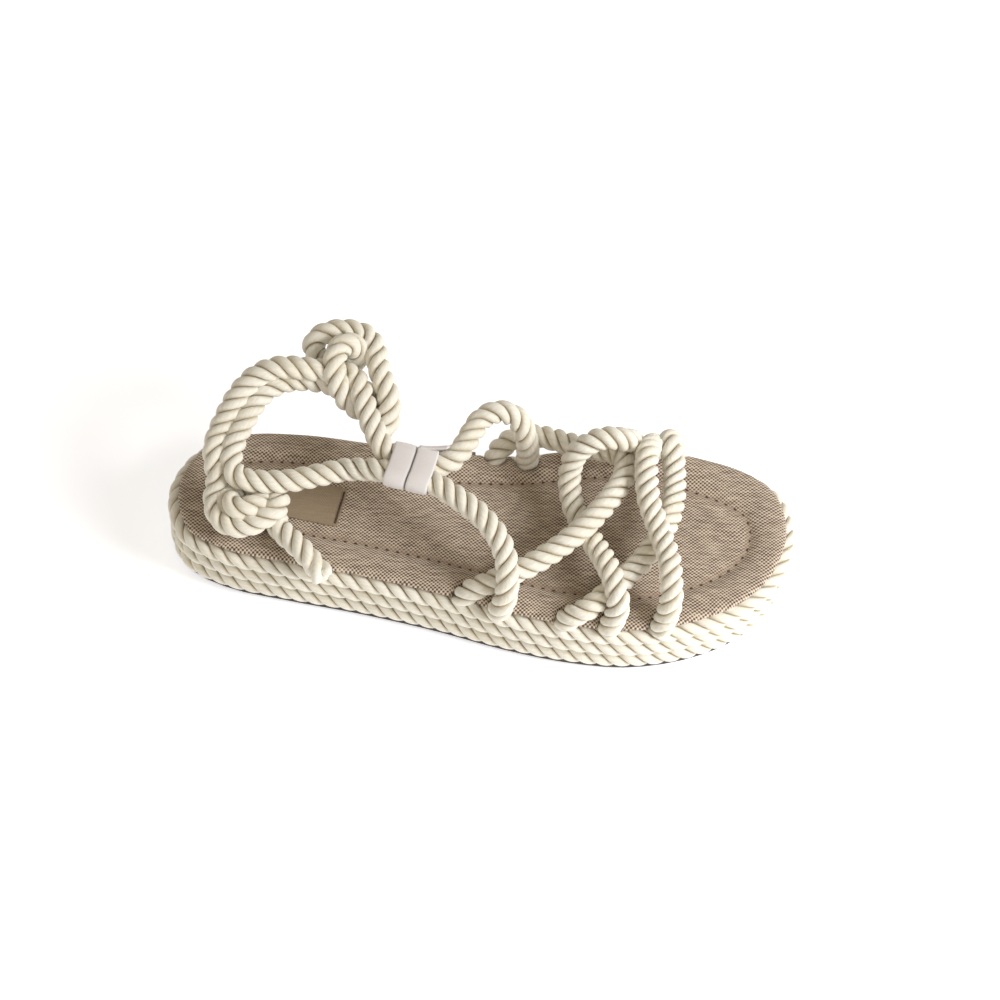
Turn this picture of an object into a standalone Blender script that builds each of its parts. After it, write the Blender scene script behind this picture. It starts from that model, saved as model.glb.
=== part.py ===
"""A rope sandal for the right foot: a flat sole wrapped in three rows of rope, a padded
insole, and an upper of thick cotton rope in loops, tied behind the heel by two knots.

Sizes are in millimetres until they reach a mesh. +X points to the toe, +Z up, and the
outer (lateral) side of the foot is at -Y. The origin is on the floor under mid-length.
"""

import math

import bmesh
import bpy
import numpy as np

MM = 0.001

# Driving sizes
LENGTH = 262.0
ROPE_R = 4.3
FOXING_R = 4.2
GAP = 0.3
OUTSOLE_T = 3.0
OUTSOLE_INSET = 2.6
SPRING = 4.0
SPRING_START = 0.72
FOXING_ROWS = 3
RING_POINTS = 72

# What follows from them
ROW_PITCH = 2 * FOXING_R + GAP
FIRST_ROW_Z = OUTSOLE_T + GAP + FOXING_R
TOP_ROW_Z = FIRST_ROW_Z + (FOXING_ROWS - 1) * ROW_PITCH
CORE_INSET = 2 * FOXING_R + GAP
CORE_TOP = TOP_ROW_Z - 2.9
INSOLE_Z = CORE_TOP + GAP

# Outer edge of the sole: share of the length from the heel, half width on each side
OUTLINE = (
    # share, lateral, medial
    (0.03, 20.0, 22.0),
    (0.10, 29.0, 33.0),
    (0.20, 33.0, 36.0),
    (0.32, 36.5, 34.5),
    (0.44, 41.5, 33.0),
    (0.55, 47.5, 35.0),
    (0.65, 51.0, 40.5),
    (0.75, 51.0, 44.0),
    (0.85, 44.5, 40.5),
    (0.93, 33.0, 33.5),
    (0.98, 17.0, 22.5),
)
HEEL_Y = 1.0
TOE_Y = 3.5

# Sections of the sole unit and of the insole: distance in from the outer edge, height
SOLE_SECTION = (
    # inset, z
    (OUTSOLE_INSET + 1.0, 0.0),
    (OUTSOLE_INSET, 0.7),
    (OUTSOLE_INSET, 2.5),
    (OUTSOLE_INSET + 0.6, OUTSOLE_T),
    (CORE_INSET, OUTSOLE_T),
    (CORE_INSET, CORE_TOP - 0.8),
    (CORE_INSET + 0.8, CORE_TOP),
)
INSOLE_SECTION = (
    # inset, z
    (CORE_INSET + 0.4, INSOLE_Z),
    (CORE_INSET + 0.1, 25.4),
    (7.5, 28.4),
    (5.6, 29.5),
    (3.9, 30.1),
    (3.4, 31.0),
    (4.6, 32.2),
    (8.7, 32.9),
    (14.0, 32.5),
    (17.5, 31.2),
    (20.0, 31.6),
)

# The binding: its middle, the way the ropes run through it, and its own sizes
BAND_MIDDLE = (-30.0, 3.8, 57.0)
BAND_LENGTH = 18.5
BAND_WALL = 1.4
BAND_GROOVE = 0.5
ROPE_SPACING = 2 * ROPE_R + GAP
ROPE_RUN = (0.983, -0.186, 0.02)
ROPE_ASIDE = (0.186, 0.983, 0.0)

# Each rope's route. Ends that go down beside the insole are thinned in its pockets.
FOREFOOT = {
    "instep_lateral": (
        (-11, -8, 57), (-3, -13, 56.2), (4, -19.2, 55), (9, -25.5, 52.8), (12, -32.5, 49.4),
        (13, -38.7, 45.4), (12.8, -42.6, 39.8), (11.4, -44.3, 34), (9.5, -43.5, 29), (8.5, -42.5, 26),
    ),
    "instep_medial": (
        (-13.5, 9.5, 57.5), (-9.5, 15.5, 58.5), (-6.5, 22, 60), (-3, 28, 61.5), (3, 31.2, 62.7),
        (9.5, 31.6, 60.5), (13.8, 29.8, 55.5), (15.8, 28.2, 49.5), (16.8, 28.2, 42), (17, 29, 33.5),
        (17, 29.5, 26),
    ),
    "loop_1": (
        (-6, -38, 26), (-5, -38.5, 29), (-1, -37.5, 34), (5, -36, 37.8), (13, -33, 40.7), (22, -29, 44),
        (31, -23, 47), (39, -16, 49.5), (46, -8, 51.5), (52, 1, 52.5), (56.3, 10, 52.5), (57.5, 17.3, 51.8),
        (55.5, 23, 50.3), (50.5, 26, 48.4), (38, 29.2, 45.8), (28, 33, 43.5), (18, 35.8, 41.2),
        (10, 35, 38.3), (5.2, 32.3, 34), (3, 30, 30), (2, 28.5, 26),
    ),
    "loop_2": (
        (55, -45.5, 26), (55.5, -47.3, 31), (57, -46.3, 36), (58, -44, 41), (57.5, -41, 44.2),
        (55.8, -35.6, 45.9), (53, -29, 46.3), (49.5, -21.7, 45), (45.4, -14.4, 43.6), (41.4, -6.8, 43),
        (37.6, -0.2, 43.8), (35.3, 7.3, 46.5), (34.8, 13.6, 50.8), (36.5, 17.6, 56.5), (40.7, 20, 61),
        (46.3, 21.8, 63.5), (52, 22.6, 63.5), (56.5, 24, 60.8), (59, 27.5, 55.5), (59.6, 32.5, 46.5),
        (59.5, 36.3, 37.5), (58.8, 37.8, 31), (58, 37.5, 26),
    ),
    "loop_3": (
        (36.5, -44.5, 26), (37.6, -46, 30.5), (41, -45.5, 34.8), (46, -43.7, 37.8), (51, -39.3, 39.2),
        (56.3, -33.6, 39.3), (62, -26.6, 39.8), (66.2, -22, 41.3), (69.5, -17.4, 43.5), (72.3, -13, 45.4),
        (75, -7.6, 46.4), (77.2, -0.2, 47), (78, 7, 47.4), (77.9, 14.5, 48.5), (77.2, 21.5, 50.5),
        (75.8, 27.5, 52.3), (75, 32, 51), (76, 36, 45.5), (77.8, 38, 38), (78.3, 37.5, 31), (78, 36.5, 26),
    ),
    "loop_4": (
        (75.5, -44, 26), (76.5, -45.3, 31), (77.8, -43.8, 36), (78.6, -42.2, 41.5), (78.9, -39.6, 45),
        (78.4, -35.9, 48.2), (77.8, -31.2, 50.3), (76.9, -25.6, 51), (75, -20.1, 51.8), (72.6, -14.2, 52.7),
        (70.2, -8.8, 54.2), (67.8, -3.4, 56), (66.2, 2.9, 58), (65.4, 10.5, 59.5), (65.4, 18.4, 59.3),
        (67, 26, 55), (68.4, 32, 47.5), (69, 36.5, 39.5), (69.2, 38.3, 32), (68.5, 38, 26),
    ),
}
HEEL = {
    "lateral_rope": (
        (-47.5, 3, 54.5), (-57, 3.8, 51.5), (-67, 1, 50.5), (-78.5, -2.7, 50), (-86.5, -4.3, 50.3),
        (-94, -4.9, 50.8), (-99.3, -4, 51.2), (-102.5, -1, 52.2), (-103.5, 3.2, 53.5), (-103.3, 8, 54.8),
        (-102, 13.5, 56.3), (-99.3, 20.3, 59), (-95.8, 27.3, 61.3), (-91, 33, 63), (-84, 36.8, 64),
        (-77, 38, 64.3), (-70, 38.5, 63), (-62.5, 39, 60), (-55, 39, 58.5), (-48.8, 37, 58),
        (-46.3, 32.8, 57.5), (-48.8, 29.4, 57), (-54.5, 30, 58.5), (-60, 31.8, 63), (-63.2, 34.8, 68),
        (-64.8, 38.6, 72), (-65, 43.5, 74.5), (-63.3, 47.8, 75.5), (-60, 50.4, 74.8), (-57, 51, 70.8),
        (-56.8, 50.4, 65.5), (-60.5, 49.5, 61.8), (-66.5, 49, 61.5), (-72, 49.5, 64), (-75, 51, 68),
        (-74, 54, 71), (-70.5, 56.2, 72.3), (-66, 58.2, 72.3), (-59.5, 59.2, 71.6), (-53.5, 57.8, 70.7),
        (-49.5, 52.8, 70), (-47.8, 46, 69), (-45, 38.8, 67.5), (-41.9, 32.3, 64.8), (-41.2, 27.3, 61),
        (-42, 23.5, 57.2),
    ),
    "medial_rope": (
        (-41.5, 11.3, 57.8), (-45.2, 16.2, 60), (-48.9, 22.8, 62.5), (-52, 29.5, 65.2), (-54.3, 35.5, 66.6),
        (-57.5, 40.2, 66.4), (-62, 41.5, 66.4), (-67.5, 40.5, 68.2), (-73.5, 38.9, 70.6), (-80, 38.3, 71.8),
        (-88.5, 37.3, 71.7), (-96, 34.2, 69.7), (-102.2, 28.2, 65.8), (-106.8, 20.8, 60.3),
        (-109.8, 13.3, 56), (-110.8, 7.5, 54.3), (-110.3, 3, 52.2), (-109.3, -0.5, 50), (-108.6, -3.8, 47),
        (-109, -7.2, 44.2), (-109, -11, 42.5), (-107.5, -15.4, 41.5), (-104.3, -19.2, 41),
        (-99.2, -21, 41), (-93, -20.2, 42), (-87.2, -17, 43.8), (-83.3, -12.9, 44.2), (-83.2, -8.2, 43),
        (-86.8, -4.4, 41), (-92.8, -2.8, 39.5), (-99.2, -4, 39.8), (-102.8, -7.6, 42), (-103, -11.8, 44.6),
        (-100.5, -15.1, 46), (-96.6, -15.8, 46.3), (-92.3, -13.4, 45.5), (-89, -10, 42.8),
        (-86.5, -8.8, 39.3), (-84.3, -10.8, 37), (-83.2, -14.5, 36.8), (-81.6, -18.2, 37.4),
        (-78.6, -21.4, 38), (-75, -24.6, 38.3), (-69.8, -29.3, 38), (-64.4, -34.5, 36),
    ),
}
ANCHORED_BOTH_ENDS = ("loop_1", "loop_2", "loop_3", "loop_4")
POCKET_DEEP_Z = 38.0
ANCHOR_TOP_Z = 33.0
ANCHOR_END_R = 2.9
ROPE_STEP = 6.0

# The tape over the butt joint of the rope rows, and the label on the insole
JOINT_X = -14.0
TAPE_HALF = 9.0
TAPE_WALL = 1.2
LABEL_SIZE = (36.0, 19.0, 0.7)
LABEL_MIDDLE = (-75.3, 0.0)
LABEL_TURN = -8.0

COLOURS = {
    # name: red, green, blue, roughness
    "cotton_rope": (0.83, 0.78, 0.66, 0.85),
    "linen_insole": (0.36, 0.28, 0.21, 0.90),
    "dark_rubber": (0.03, 0.027, 0.024, 0.75),
    "suede_band": (0.58, 0.55, 0.56, 0.95),
    "tape": (0.30, 0.27, 0.24, 0.90),
    "label": (0.52, 0.44, 0.34, 0.90),
}


def material(name):
    red, green, blue, roughness = COLOURS[name]
    found = bpy.data.materials.get(name)
    if found:
        return found
    made = bpy.data.materials.new(name)
    made.use_nodes = True
    shader = made.node_tree.nodes["Principled BSDF"]
    shader.inputs["Base Color"].default_value = (red, green, blue, 1.0)
    shader.inputs["Roughness"].default_value = roughness
    shader.inputs["Metallic"].default_value = 0.0
    return made


def smooth_curve(points, step, closed=False):
    """Points about `step` apart on the centripetal Catmull-Rom curve through the given ones."""
    through = np.array(points, float)
    if closed:
        through = np.vstack([through[-1], through, through[:2]])
    else:
        through = np.vstack([2 * through[0] - through[1], through, 2 * through[-1] - through[-2]])
    knots = np.concatenate([[0.0], np.cumsum(np.linalg.norm(np.diff(through, axis=0), axis=1) ** 0.5)])
    dense = []
    for i in range(1, len(through) - 2):
        p0, p1, p2, p3 = through[i - 1:i + 3]
        t0, t1, t2, t3 = knots[i - 1:i + 3]
        t = np.linspace(t1, t2, 24, endpoint=False)[:, None]
        a1 = ((t1 - t) * p0 + (t - t0) * p1) / (t1 - t0)
        a2 = ((t2 - t) * p1 + (t - t1) * p2) / (t2 - t1)
        a3 = ((t3 - t) * p2 + (t - t2) * p3) / (t3 - t2)
        b1 = ((t2 - t) * a1 + (t - t0) * a2) / (t2 - t0)
        b2 = ((t3 - t) * a2 + (t - t1) * a3) / (t3 - t1)
        dense.append(((t2 - t) * b1 + (t - t1) * b2) / (t2 - t1))
    dense = np.vstack(dense + [through[-2][None]])
    run = np.concatenate([[0.0], np.cumsum(np.linalg.norm(np.diff(dense, axis=0), axis=1))])
    count = max(2, round(run[-1] / step))
    at = np.linspace(0.0, run[-1], count + 1)
    return np.column_stack([np.interp(at, run, dense[:, k]) for k in range(dense.shape[1])])


def sole_edge():
    """The outer edge of the sole seen from above: heel to toe on the lateral side, and back."""
    lateral = [((share - 0.5) * LENGTH, -out) for share, out, _ in OUTLINE]
    medial = [((share - 0.5) * LENGTH, out) for share, _, out in OUTLINE]
    heel = (-LENGTH / 2, HEEL_Y)
    toe = (LENGTH / 2, TOE_Y)
    edge = smooth_curve([heel] + lateral + [toe] + medial[::-1], 0.5, closed=True)[:-1]
    half = int(edge[:, 0].argmax())
    sides = []
    for side in (edge[:half + 1], np.vstack([edge[half:], edge[:1]])):
        run = np.concatenate([[0.0], np.cumsum(np.linalg.norm(np.diff(side, axis=0), axis=1))])
        at = np.linspace(0.0, run[-1], RING_POINTS // 2 + 1)[:-1]
        sides.append(np.column_stack([np.interp(at, run, side[:, k]) for k in (0, 1)]))
    return np.vstack(sides)


def outward(loop):
    along = np.roll(loop, -1, axis=0) - np.roll(loop, 1, axis=0)
    along /= np.linalg.norm(along, axis=1)[:, None]
    return np.column_stack([along[:, 1], -along[:, 0]])


def spring(x):
    share = np.clip((np.asarray(x) / LENGTH + 0.5 - SPRING_START) / (1 - SPRING_START), 0, 1)
    return SPRING * share ** 2


EDGE = sole_edge()
EDGE_OUT = outward(EDGE)


def ring(inset, z):
    """The sole's edge moved in by `inset`, at height z plus the toe's rise."""
    flat = EDGE - EDGE_OUT * inset
    return np.column_stack([flat, z + spring(flat[:, 0])])


def add_object(name, mesh, finish):
    made = bpy.data.objects.new(name, mesh)
    bpy.context.scene.collection.objects.link(made)
    made.data.materials.clear()
    made.data.materials.append(material(finish))
    return made


def mesh_of(name, points, faces):
    """A mesh with its faces turned outwards, from points in millimetres."""
    mesh = bpy.data.meshes.new(name)
    mesh.from_pydata([tuple(p * MM) for p in np.asarray(points, float)], [], faces)
    shape = bmesh.new()
    shape.from_mesh(mesh)
    bmesh.ops.recalc_face_normals(shape, faces=shape.faces)
    shape.to_mesh(mesh)
    shape.free()
    return mesh


def lofted(name, section, finish):
    """One ring of the sole's edge for each row of the section, with both ends closed by strips."""
    n = RING_POINTS
    points = np.vstack([ring(inset, z) for inset, z in section])
    faces = []
    for level in range(len(section) - 1):
        low, high = level * n, (level + 1) * n
        faces += [(low + i, low + (i + 1) % n, high + (i + 1) % n, high + i) for i in range(n)]
    for start in (0, (len(section) - 1) * n):
        for i in range(n // 2):
            strip = [i, i + 1, n - i - 1, (n - i) % n]
            strip = [start + k for k in dict.fromkeys(strip)]
            faces.append(tuple(strip))
    made = add_object(name, mesh_of(name, points, faces), finish)
    made.data.shade_smooth()
    made.data.set_sharp_from_angle(angle=math.radians(40))
    return made


def tube(name, points, radius, finish, radii=None, twist="MINIMUM"):
    """A round bar along the points, as a mesh: a curve with a bevel and filled ends."""
    curve = bpy.data.curves.new(name, "CURVE")
    curve.dimensions = "3D"
    curve.twist_mode = twist
    curve.bevel_depth = radius * MM
    curve.bevel_resolution = 2
    curve.use_fill_caps = True
    spline = curve.splines.new("POLY")
    spline.points.add(len(points) - 1)
    for i, (x, y, z) in enumerate(points):
        spline.points[i].co = (x * MM, y * MM, z * MM, 1.0)
        spline.points[i].radius = 1.0 if radii is None else radii[i] / radius
    guide = bpy.data.objects.new(name + "_guide", curve)
    bpy.context.scene.collection.objects.link(guide)
    bpy.context.view_layer.update()
    shaped = guide.evaluated_get(bpy.context.evaluated_depsgraph_get())
    mesh = bpy.data.meshes.new_from_object(shaped)
    bpy.data.objects.remove(guide)
    weld = bmesh.new()
    weld.from_mesh(mesh)
    bmesh.ops.remove_doubles(weld, verts=weld.verts, dist=1e-6)
    bmesh.ops.recalc_face_normals(weld, faces=weld.faces)
    weld.to_mesh(mesh)
    weld.free()
    made = add_object(name, mesh, finish)
    made.data.shade_smooth()
    return made


def helper(made):
    made.hide_render = True
    made.display_type = "WIRE"
    return made


def boolean(target, others, operation, label):
    """One Boolean of the target with a collection that holds the other solids."""
    group = bpy.data.collections.new(target.name + "_" + label)
    bpy.context.scene.collection.children.link(group)
    for other in others:
        group.objects.link(helper(other))
        bpy.context.scene.collection.objects.unlink(other)
    made = target.modifiers.new(label, "BOOLEAN")
    made.operation = operation
    made.solver = "EXACT"
    made.use_self = operation == "UNION"
    made.operand_type = "COLLECTION"
    made.collection = group


def anchored_radii(points, both):
    """Full radius along the rope, thinner where an end goes down beside the insole."""
    share = np.clip((points[:, 2] - 26.0) / (ANCHOR_TOP_Z - 26.0), 0, 1)
    radii = ANCHOR_END_R + (ROPE_R - ANCHOR_END_R) * share
    if not both:
        radii[:len(radii) // 2] = ROPE_R
    return radii


def rope_start(side, sense):
    """Points of a rope inside the binding, the first just beside its middle."""
    middle = np.array(BAND_MIDDLE) + side * ROPE_SPACING / 2 * np.array(ROPE_ASIDE)
    run = sense * np.array(ROPE_RUN)
    return [tuple(middle + run * reach) for reach in (0.6 * GAP, 5.0, BAND_LENGTH / 2 + 1.0)]


def forefoot_route(name, step):
    route = list(FOREFOOT[name])
    if name == "instep_lateral":
        route = rope_start(-1, 1) + route
    if name == "instep_medial":
        route = rope_start(1, 1) + route
    return smooth_curve(route, step)


def heel_route(name, step):
    route = list(HEEL[name])
    side = -1 if name == "lateral_rope" else 1
    return smooth_curve(rope_start(side, -1) + route, step)


def joined_ropes(name, pieces):
    boolean(pieces[0], pieces[1:], "UNION", "joined")
    pieces[0].name = name
    return pieces[0]


def forefoot_ropes():
    pieces = []
    for name in FOREFOOT:
        points = forefoot_route(name, ROPE_STEP)
        radii = anchored_radii(points, name in ANCHORED_BOTH_ENDS)
        pieces.append(tube(name, points, ROPE_R, "cotton_rope", radii))
    return joined_ropes("forefoot_ropes", pieces)


def heel_sling():
    pieces = [tube(name, heel_route(name, ROPE_STEP), ROPE_R, "cotton_rope") for name in HEEL]
    return joined_ropes("heel_sling", pieces)


def pocket_cutters(label):
    """The low end of each forefoot rope, grown by the gap, to cut its pocket."""
    cutters = []
    for name in FOREFOOT:
        points = forefoot_route(name, ROPE_STEP)
        radii = anchored_radii(points, name in ANCHORED_BOTH_ENDS) + GAP + 0.1
        half = len(points) // 2
        ends = [(points[half:], radii[half:])]
        if name in ANCHORED_BOTH_ENDS:
            ends.append((points[:half][::-1], radii[:half][::-1]))
        for k, (run, radius) in enumerate(ends):
            first = int(np.argmax(run[:, 2] < POCKET_DEEP_Z)) - 1
            run, radius = run[first:], radius[first:]
            down = run[-1] - run[-2]
            run = np.vstack([run, run[-1] + down / np.linalg.norm(down) * GAP])
            radius = np.append(radius, radius[-1])
            cutters.append(tube(f"{label}_{name}_{k}", run, ROPE_R, "cotton_rope", radius))
    return cutters


def foxing_rope(row):
    """One row of rope round the sole, its ends butted together on the medial waist."""
    z = FIRST_ROW_Z + row * ROW_PITCH
    loop = ring(FOXING_R, z)
    medial = np.arange(RING_POINTS) > RING_POINTS // 2
    joint = int(np.where(medial, np.abs(loop[:, 0] - JOINT_X), np.inf).argmin())
    loop = np.roll(loop, -joint, axis=0)
    ahead = (loop[1] - loop[0]) / np.linalg.norm(loop[1] - loop[0])
    path = np.vstack([loop[0] + ahead * GAP / 2, loop[1:], loop[0] - ahead * GAP / 2])
    return tube(f"foxing_rope_{row + 1}", path, FOXING_R, "cotton_rope", twist="Z_UP")


def medial_edge(x, inset, z):
    """A point in from the sole's medial edge at station x."""
    half = RING_POINTS // 2
    edge = EDGE[half:][::-1]
    out = EDGE_OUT[half:][::-1]
    y = np.interp(x, edge[:, 0], edge[:, 1])
    normal = np.array([np.interp(x, edge[:, 0], out[:, k]) for k in (0, 1)])
    normal /= np.linalg.norm(normal)
    return np.array([x - normal[0] * inset, y - normal[1] * inset, z])


def side_tape():
    """A strip over the rope rows at their joint, rounded over the top row."""
    near = FOXING_R + GAP
    section = [(FOXING_R - near, OUTSOLE_T + 0.8)]
    section += [
        (FOXING_R - near * math.cos(angle), TOP_ROW_Z + near * math.sin(angle))
        for angle in (math.radians(15 * k) for k in range(6))
    ]
    far = near + TAPE_WALL
    section += [
        (FOXING_R - far * math.cos(angle), TOP_ROW_Z + far * math.sin(angle))
        for angle in (math.radians(15 * k) for k in range(5, -1, -1))
    ]
    section.append((FOXING_R - far, OUTSOLE_T + 0.8))
    stations = np.linspace(JOINT_X - TAPE_HALF, JOINT_X + TAPE_HALF, 5)
    points = [medial_edge(x, inset, z) for x in stations for inset, z in section]
    n = len(section)
    faces = []
    for s in range(len(stations) - 1):
        a, b = s * n, (s + 1) * n
        faces += [(a + i, a + (i + 1) % n, b + (i + 1) % n, b + i) for i in range(n)]
    half = n // 2
    for start in (0, (len(stations) - 1) * n):
        faces += [
            (start + i, start + i + 1, start + n - 2 - i, start + n - 1 - i) for i in range(half - 1)
        ]
    return add_object("side_tape", mesh_of("side_tape", points, faces), "tape")


def binding_band():
    """A sleeve of two turns round both ropes, with the seam between them as a groove."""
    run = np.array(ROPE_RUN) / np.linalg.norm(ROPE_RUN)
    aside = np.array(ROPE_ASIDE) / np.linalg.norm(ROPE_ASIDE)
    up = np.cross(run, aside)
    around = [math.radians(-90 + 180 * k / 8) for k in range(9)]

    def oval(reach, radius):
        flat = [(ROPE_SPACING / 2 + radius * math.cos(a), radius * math.sin(a)) for a in around]
        flat += [(-v, -w) for v, w in flat]
        return [np.array(BAND_MIDDLE) + run * reach + aside * v + up * w for v, w in flat]

    inner = ROPE_R + GAP
    outer = inner + BAND_WALL
    half = BAND_LENGTH / 2
    stations = (
        # reach, outer radius
        (-half, outer - 0.4), (-half + 0.5, outer), (-0.8, outer), (0.0, outer - BAND_GROOVE),
        (0.8, outer), (half - 0.5, outer), (half, outer - 0.4),
    )
    rings = [oval(reach, radius) for reach, radius in stations]
    rings += [oval(half, inner), oval(-half, inner)]
    n = len(rings[0])
    faces = []
    for s in range(len(rings)):
        a, b = s * n, (s + 1) % len(rings) * n
        faces += [(a + i, a + (i + 1) % n, b + (i + 1) % n, b + i) for i in range(n)]
    made = add_object("binding_band", mesh_of("binding_band", np.vstack(rings), faces), "suede_band")
    made.data.shade_smooth()
    made.data.set_sharp_from_angle(angle=math.radians(35))
    return made


def sock_label():
    length, width, thick = LABEL_SIZE
    mesh = bpy.data.meshes.new("sock_label")
    shape = bmesh.new()
    bmesh.ops.create_cube(shape, size=1.0)
    bmesh.ops.scale(shape, vec=(length * MM, width * MM, thick * MM), verts=shape.verts)
    upright = [e for e in shape.edges if abs(e.verts[0].co.z - e.verts[1].co.z) > 1e-5]
    bmesh.ops.bevel(shape, geom=upright, offset=1.5 * MM, segments=3, affect="EDGES", profile=0.5)
    shape.to_mesh(mesh)
    shape.free()
    made = add_object("sock_label", mesh, "label")
    seat = INSOLE_SECTION[-1][1] + GAP + thick / 2
    made.location = (LABEL_MIDDLE[0] * MM, LABEL_MIDDLE[1] * MM, seat * MM)
    made.rotation_euler = (0.0, 0.0, math.radians(LABEL_TURN))
    return made


def build():
    for old in list(bpy.data.objects):
        bpy.data.objects.remove(old)
    lofted("sole", SOLE_SECTION, "dark_rubber")
    insole = lofted("insole", INSOLE_SECTION, "linen_insole")
    rows = [foxing_rope(row) for row in range(FOXING_ROWS)]
    boolean(insole, pocket_cutters("insole_pocket"), "DIFFERENCE", "pockets")
    boolean(rows[-1], pocket_cutters("foxing_pocket"), "DIFFERENCE", "pockets")
    forefoot_ropes()
    heel_sling()
    binding_band()
    side_tape()
    sock_label()


build()
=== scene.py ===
# %% [markdown]
# # Dressing a rope sandal
# This lesson takes the plain solids of a sandal and gives them the look of the real thing:
# twisted cotton rope, a padded linen footbed, a suede binding and a dark rubber sole.
# Each step has a text cell, which says what the piece is and why it is made that way, and a
# short code cell. Lengths are written in millimetres and turned to metres at the last moment.

# %% Load the solids
import math

import bpy
import numpy as np
from mathutils import Matrix, Vector


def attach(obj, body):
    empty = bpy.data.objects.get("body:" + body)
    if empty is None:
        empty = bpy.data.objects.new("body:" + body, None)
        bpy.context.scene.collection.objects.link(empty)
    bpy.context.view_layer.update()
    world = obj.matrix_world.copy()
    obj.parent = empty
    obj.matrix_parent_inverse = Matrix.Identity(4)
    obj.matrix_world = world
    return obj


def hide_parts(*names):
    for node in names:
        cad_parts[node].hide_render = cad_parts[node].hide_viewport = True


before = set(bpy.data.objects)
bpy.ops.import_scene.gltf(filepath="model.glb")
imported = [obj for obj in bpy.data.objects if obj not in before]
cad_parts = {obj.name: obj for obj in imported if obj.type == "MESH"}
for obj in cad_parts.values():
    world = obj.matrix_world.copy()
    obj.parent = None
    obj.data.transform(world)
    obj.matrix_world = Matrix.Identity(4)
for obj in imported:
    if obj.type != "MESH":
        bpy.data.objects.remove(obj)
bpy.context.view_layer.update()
MM = 0.001
print("solids:", sorted(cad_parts))

# %% [markdown]
# ## The camera
# A long lens from a metre away keeps the proportions of near and far parts. The camera looks
# down at 58 degrees from the outer side of the foot and is turned a little about its own
# axis. An offset of the lens, and not a turn of the camera, moves the shoe to its place in
# the picture.

# %% Camera
AIM = Vector((0.0, 0.0, 15.0)) * MM
AZIMUTH = math.radians(1.1)
ELEVATION = math.radians(58.0)
ROLL = math.radians(4.0)
DISTANCE = 1.0

ahead = Vector((
    -math.sin(AZIMUTH) * math.cos(ELEVATION),
    math.cos(AZIMUTH) * math.cos(ELEVATION),
    -math.sin(ELEVATION),
))
level = Vector((math.cos(AZIMUTH), math.sin(AZIMUTH), 0.0))
above = level.cross(ahead)
across = math.cos(ROLL) * level + math.sin(ROLL) * above
upward = math.cos(ROLL) * above - math.sin(ROLL) * level
camera = bpy.data.objects.new("camera", bpy.data.cameras.new("camera"))
bpy.context.scene.collection.objects.link(camera)
camera.matrix_world = Matrix.Translation(AIM - ahead * DISTANCE) @ Matrix(
    (across, upward, -ahead)
).transposed().to_4x4()
camera.data.lens = 85.7
camera.data.sensor_width = 36.0
camera.data.shift_x = 0.020
camera.data.shift_y = 0.037
bpy.context.scene.camera = camera
print("camera stands at", [round(v, 3) for v in camera.location])

# %% [markdown]
# ## One way to name a colour, one way to add a node
# Colours are written as a painter would read them off a chart, in sRGB hex. Blender's shaders
# work in linear light, so one function converts them. One more adds a node, sets its
# properties, and either fills or links its inputs, so that a material reads like a recipe.


# %% Colour and node helpers
SHEEN_ROUGHNESS = 0.6


def linear(code):
    """The linear RGBA of an sRGB hex code: the standard curve, undone."""
    shares = [int(code[k:k + 2], 16) / 255 for k in (1, 3, 5)]
    undone = [s / 12.92 if s <= 0.04045 else ((s + 0.055) / 1.055) ** 2.4 for s in shares]
    return (*undone, 1.0)


def add_node(finish, kind, inputs=None, **settings):
    """One node of that kind, its properties set, and its inputs given a value or a link."""
    tree = finish.node_tree
    node = tree.nodes.new(kind)
    for name, value in settings.items():
        setattr(node, name, value)
    for key, value in (inputs or {}).items():
        if isinstance(value, bpy.types.NodeSocket):
            tree.links.new(value, node.inputs[key])
        else:
            node.inputs[key].default_value = value
    return node


def new_finish(name, roughness, sheen=0.0):
    """An empty finish with its shader: the roughness and sheen are set on its own sockets."""
    finish = bpy.data.materials.new(name)
    finish.use_nodes = True
    shader = finish.node_tree.nodes["Principled BSDF"]
    shader.inputs["Roughness"].default_value = roughness
    shader.inputs["Sheen Weight"].default_value = sheen
    shader.inputs["Sheen Roughness"].default_value = SHEEN_ROUGHNESS
    return finish, shader


def wear(finish, shader, colour, normal):
    """Joins the worked out colour and surface relief to the shader."""
    finish.node_tree.links.new(colour, shader.inputs["Base Color"])
    finish.node_tree.links.new(normal, shader.inputs["Normal"])
    return finish


# %% [markdown]
# ## Light and floor
# The light comes from a near lamp on the right, above the toe, which makes the toe brighter
# than the heel, and from a bright room that fills the shadows. A small square lamp gives the
# first. A large weak lamp in front and the sky colour give the second. The floor is a wide
# pale sheet. It glows a little, so that it stays white and only catches a faint shadow.


# %% Lamps, sky and floor
def lamp(name, place, size, watts, colour):
    """A square lamp of that size at that place, turned to face the sandal."""
    light = bpy.data.lights.new(name, "AREA")
    light.size = size
    light.energy = watts
    light.color = linear(colour)[:3]
    made = bpy.data.objects.new(name, light)
    bpy.context.scene.collection.objects.link(made)
    made.location = place
    made.rotation_mode = "QUATERNION"
    made.rotation_quaternion = (AIM - Vector(place)).to_track_quat("-Z", "Y")


lamp("key", (0.70, -0.20, 0.56), 0.4, 7.0, "#FFFFFF")
lamp("fill", (-0.2, -1.1, 0.8), 1.2, 1.6, "#FFF4E2")
SKY_STRENGTH = 0.38
sky = bpy.data.worlds.new("sky")
bpy.context.scene.world = sky
sky.use_nodes = True
sky.node_tree.nodes["Background"].inputs["Color"].default_value = linear("#FFF3DE")
sky.node_tree.nodes["Background"].inputs["Strength"].default_value = SKY_STRENGTH
bpy.context.scene.view_settings.view_transform = "Standard"

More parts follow.
